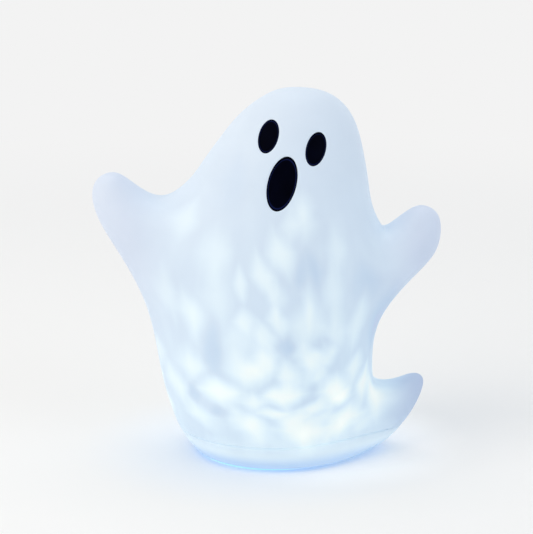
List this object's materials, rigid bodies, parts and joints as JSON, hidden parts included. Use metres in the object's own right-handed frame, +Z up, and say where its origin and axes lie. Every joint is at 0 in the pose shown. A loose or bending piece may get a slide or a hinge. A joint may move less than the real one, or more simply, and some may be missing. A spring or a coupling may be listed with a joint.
{
  "type": "light-up ghost figure",
  "caption": "Battery-lit tabletop ghost figure: frosted hollow shell with raised arms and curled tail over a light unit with turning faceted dome.",
  "frame": {"origin": "centre of the figure's footprint in plan, on the surface that it stands on", "axes": "+Z up, -Y towards the viewer of the face, +X towards the raised arm with the tail below it"},
  "size_m": [0.1867, 0.0996, 0.1997],
  "materials": {
    "vinyl": "frosted translucent rotocast vinyl, satin, lit from inside",
    "gloss_black": "gloss black inlay",
    "white_plastic": "moulded white ABS, satin",
    "black_plastic": "moulded black plastic",
    "steel_screw": "zinc plated steel",
    "nickel": "nickel plated steel",
    "cell_jacket": "plain shrink sleeve, gloss",
    "circuit_board": "solder mask, satin",
    "led": "white LED package with yellow phosphor",
    "clear_plastic": "clear moulded acrylic",
    "red_lead": "PVC insulation",
    "black_lead": "PVC insulation"
  },
  "bodies": {
    "figure": {"base_cover": "white_plastic", "base_drum": "white_plastic", "battery_1": "cell_jacket", "battery_2": "cell_jacket", "battery_3": "cell_jacket", "board_screw_1": "steel_screw", "board_screw_2": "steel_screw", "contact_link_a": "nickel", "contact_link_b": "nickel", "contact_negative": "nickel", "contact_positive": "nickel", "contact_spring_1": "nickel", "contact_spring_2": "nickel", "contact_spring_3": "nickel", "cover_screw_1": "steel_screw", "cover_screw_2": "steel_screw", "cover_screw_3": "steel_screw", "cover_screw_4": "steel_screw", "driver_chip": "black_plastic", "eye_left": "gloss_black", "eye_right": "gloss_black", "gearbox_case": "white_plastic", "gearbox_screw_1": "steel_screw", "gearbox_screw_2": "steel_screw", "ghost_shell": "vinyl", "lead_battery_negative": "black_lead", "lead_battery_positive": "red_lead", "lead_motor_black": "black_lead", "lead_motor_red": "red_lead", "lead_switch": "black_lead", "led_1": "led", "led_2": "led", "led_3": "led", "led_4": "led", "led_board": "circuit_board", "light_platform": "white_plastic", "motor_can": "nickel", "motor_end_cap": "black_plastic", "mouth": "gloss_black", "resistor_1": "black_plastic", "resistor_2": "black_plastic", "switch_case": "black_plastic"},
    "battery_door": {"battery_door": "white_plastic"},
    "door_screw": {"door_screw": "steel_screw"},
    "switch_slider": {"switch_slider": "black_plastic"},
    "dome": {"lens_dome": "clear_plastic", "dome_carrier": "clear_plastic", "output_shaft": "steel_screw"}
  },
  "joints": [
    {"name": "dome_spin", "type": "hinge", "parent": "figure", "child": "dome", "pos_m": [0.0025, 0, 0.04], "axis": [0, 0, 1], "continuous": true},
    {"name": "switch_slide", "type": "slide", "parent": "figure", "child": "switch_slider", "axis": [0, 1, 0], "range_m": [0, 0.0025]},
    {"name": "battery_door_hinge", "type": "hinge", "parent": "figure", "child": "battery_door", "pos_m": [0.0025, 0.02655, 0.002], "axis": [1, 0, 0], "range_deg": [0, 60]},
    {"name": "door_screw_turn", "type": "hinge", "parent": "battery_door", "child": "door_screw", "pos_m": [0.0025, -0.03015, 0.003], "axis": [0, 0, 1], "continuous": true}
  ]
}
